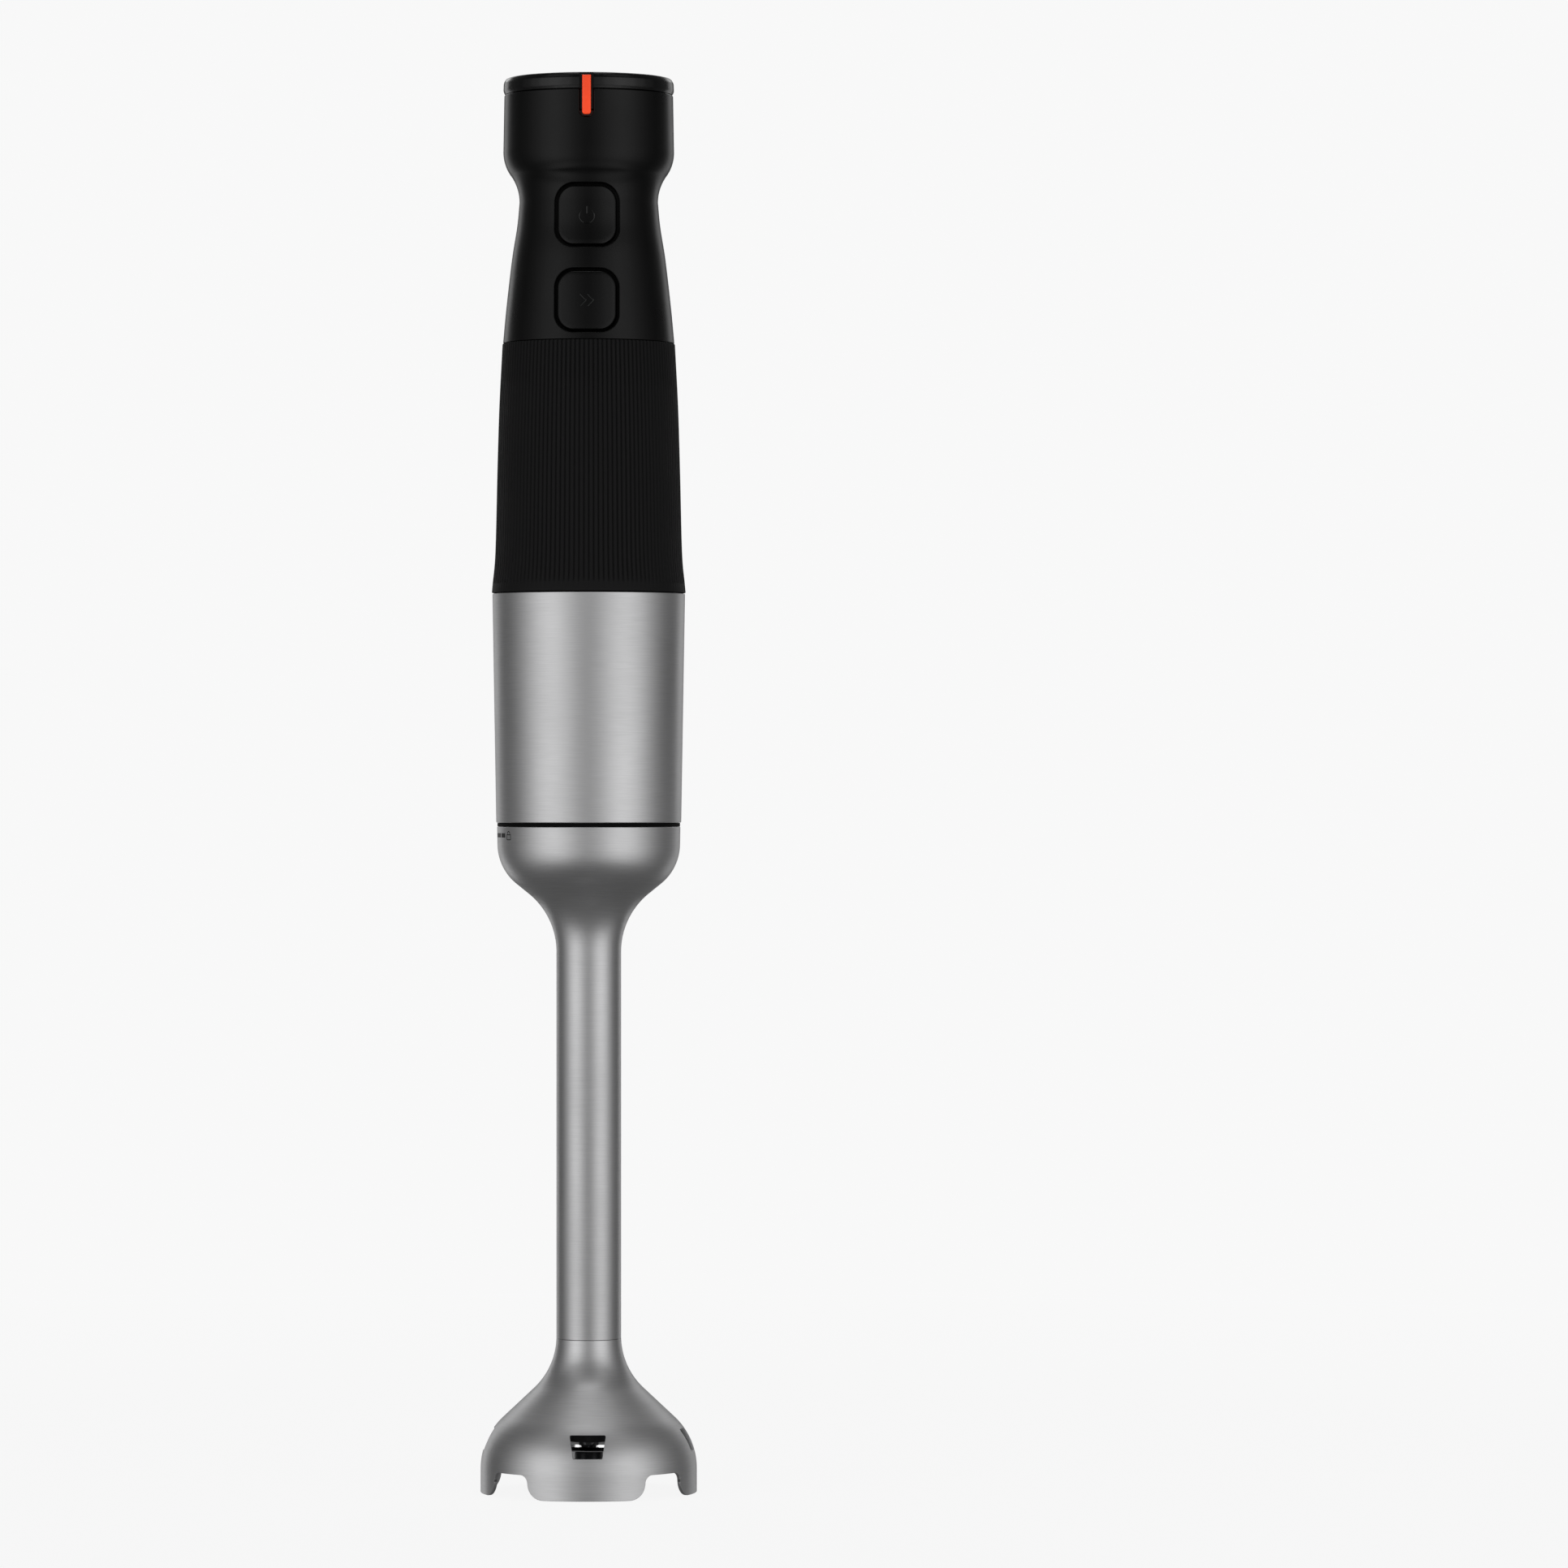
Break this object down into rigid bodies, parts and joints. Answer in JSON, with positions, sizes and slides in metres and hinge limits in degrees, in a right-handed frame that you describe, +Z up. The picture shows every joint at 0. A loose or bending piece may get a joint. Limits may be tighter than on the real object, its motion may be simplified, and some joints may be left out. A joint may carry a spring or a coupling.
{
  "type": "immersion blender",
  "caption": "Upright stick blender: black handle with top speed dial, two push buttons and ribbed grip, steel motor sleeve, twist-off steel leg, notched bell guard and sickle blade.",
  "frame": {"origin": "centre of the circle that the bell guard's four feet stand on, at the object's lowest level", "axes": "+Z up along the common axis of motor, leg and blade; -Y towards the front, where the buttons and the index marker are; +X to the right seen from the front"},
  "size_m": [0.065, 0.065, 0.4251],
  "materials": {
    "soft_black": "soft-touch satin black with a fine moulded grain",
    "grip_rubber": "matt black rubber with fine upright ribs",
    "gloss_black": "high-gloss black",
    "orange": "satin orange",
    "brushed_steel": "satin steel, brushed round the axis",
    "polished_steel": "polished steel",
    "zinc_steel": "zinc-plated steel",
    "hardened_steel": "hardened and ground steel",
    "burnished_steel": "blackened steel",
    "grey_plastic": "moulded grey plastic",
    "white_plastic": "moulded off-white plastic",
    "black_plastic": "moulded black plastic",
    "carbon": "pressed carbon",
    "brass": "turned brass and sintered bronze",
    "copper": "enamelled copper wire and copper bars",
    "lamination": "stacked electrical steel sheets",
    "circuit_board": "green solder mask",
    "heatsink_aluminium": "extruded aluminium",
    "film_yellow": "moulded yellow case"
  },
  "bodies": {
    "motor_unit": {"handle_shell": "soft_black", "grip_sleeve": "grip_rubber", "steel_sleeve": "brushed_steel", "bezel_ring": "gloss_black", "index_marker": "orange", "cord_gland": "grip_rubber", "cord_clamp": "grey_plastic", "clamp_screw_left": "zinc_steel", "clamp_screw_right": "zinc_steel", "dial_plate": "grey_plastic", "potentiometer": "grey_plastic", "pot_nut": "brass", "button_guide": "grey_plastic", "power_switch": "black_plastic", "turbo_switch": "black_plastic", "control_board": "circuit_board", "triac_heatsink": "heatsink_aluminium", "filter_capacitor": "film_yellow", "motor_frame_upper": "white_plastic", "motor_frame_lower": "white_plastic", "stator_core": "lamination", "field_coil_left": "copper", "field_coil_right": "copper", "upper_bearing": "brass", "lower_bearing": "brass", "brush_holder_left": "brass", "brush_holder_right": "brass", "carbon_brush_left": "carbon", "carbon_brush_right": "carbon", "coupling_flange": "grey_plastic", "flange_screw_1": "zinc_steel", "flange_screw_2": "zinc_steel", "flange_screw_3": "zinc_steel"},
    "speed_dial": {"speed_dial": "soft_black", "dial_shaft": "polished_steel"},
    "power_button": {"power_button": "soft_black"},
    "turbo_button": {"turbo_button": "soft_black"},
    "rotor": {"motor_shaft": "polished_steel", "rotor_core": "lamination", "rotor_winding": "copper", "commutator": "copper", "cooling_fan": "grey_plastic", "drive_dog": "white_plastic"},
    "seal_ring": {"coupling_seal": "grip_rubber"},
    "leg": {"leg_shell": "brushed_steel", "leg_socket": "grey_plastic", "liner_tube": "white_plastic", "upper_bush": "brass", "middle_bush": "brass", "thrust_washer": "zinc_steel", "bell_guard": "brushed_steel", "bearing_carrier": "black_plastic", "lower_bush": "brass", "shaft_seal": "grip_rubber"},
    "blade_shaft": {"drive_shaft": "hardened_steel", "driven_dog": "white_plastic", "retaining_clip": "zinc_steel", "blade": "polished_steel", "blade_nut": "burnished_steel"}
  },
  "joints": [
    {"name": "speed_turn", "type": "hinge", "parent": "motor_unit", "child": "speed_dial", "pos_m": [0, 0, 0.42], "axis": [0, 0, -1], "range_deg": [0, 240]},
    {"name": "power_press", "type": "slide", "parent": "motor_unit", "child": "power_button", "axis": [0, 1, 0], "range_m": [0, 0.0015], "stiffness_N_per_m": 1200, "springref_m": -0.001},
    {"name": "turbo_press", "type": "slide", "parent": "motor_unit", "child": "turbo_button", "axis": [0, 1, 0], "range_m": [0, 0.0015], "stiffness_N_per_m": 1200, "springref_m": -0.001},
    {"name": "rotor_spin", "type": "hinge", "parent": "motor_unit", "child": "rotor", "pos_m": [0, 0, 0.25], "axis": [0, 0, 1], "continuous": true},
    {"name": "leg_twist", "type": "hinge", "parent": "motor_unit", "child": "seal_ring", "pos_m": [0, 0, 0.2], "axis": [0, 0, 1], "range_deg": [0, 30]},
    {"name": "leg_pull", "type": "slide", "parent": "seal_ring", "child": "leg", "axis": [0, 0, -1], "range_m": [0, 0.06]},
    {"name": "blade_spin", "type": "hinge", "parent": "leg", "child": "blade_shaft", "pos_m": [0, 0, 0.1], "axis": [0, 0, 1], "continuous": true}
  ],
  "couplings": [
    {"joint": "blade_spin", "follows": "rotor_spin", "ratio": 1}
  ]
}
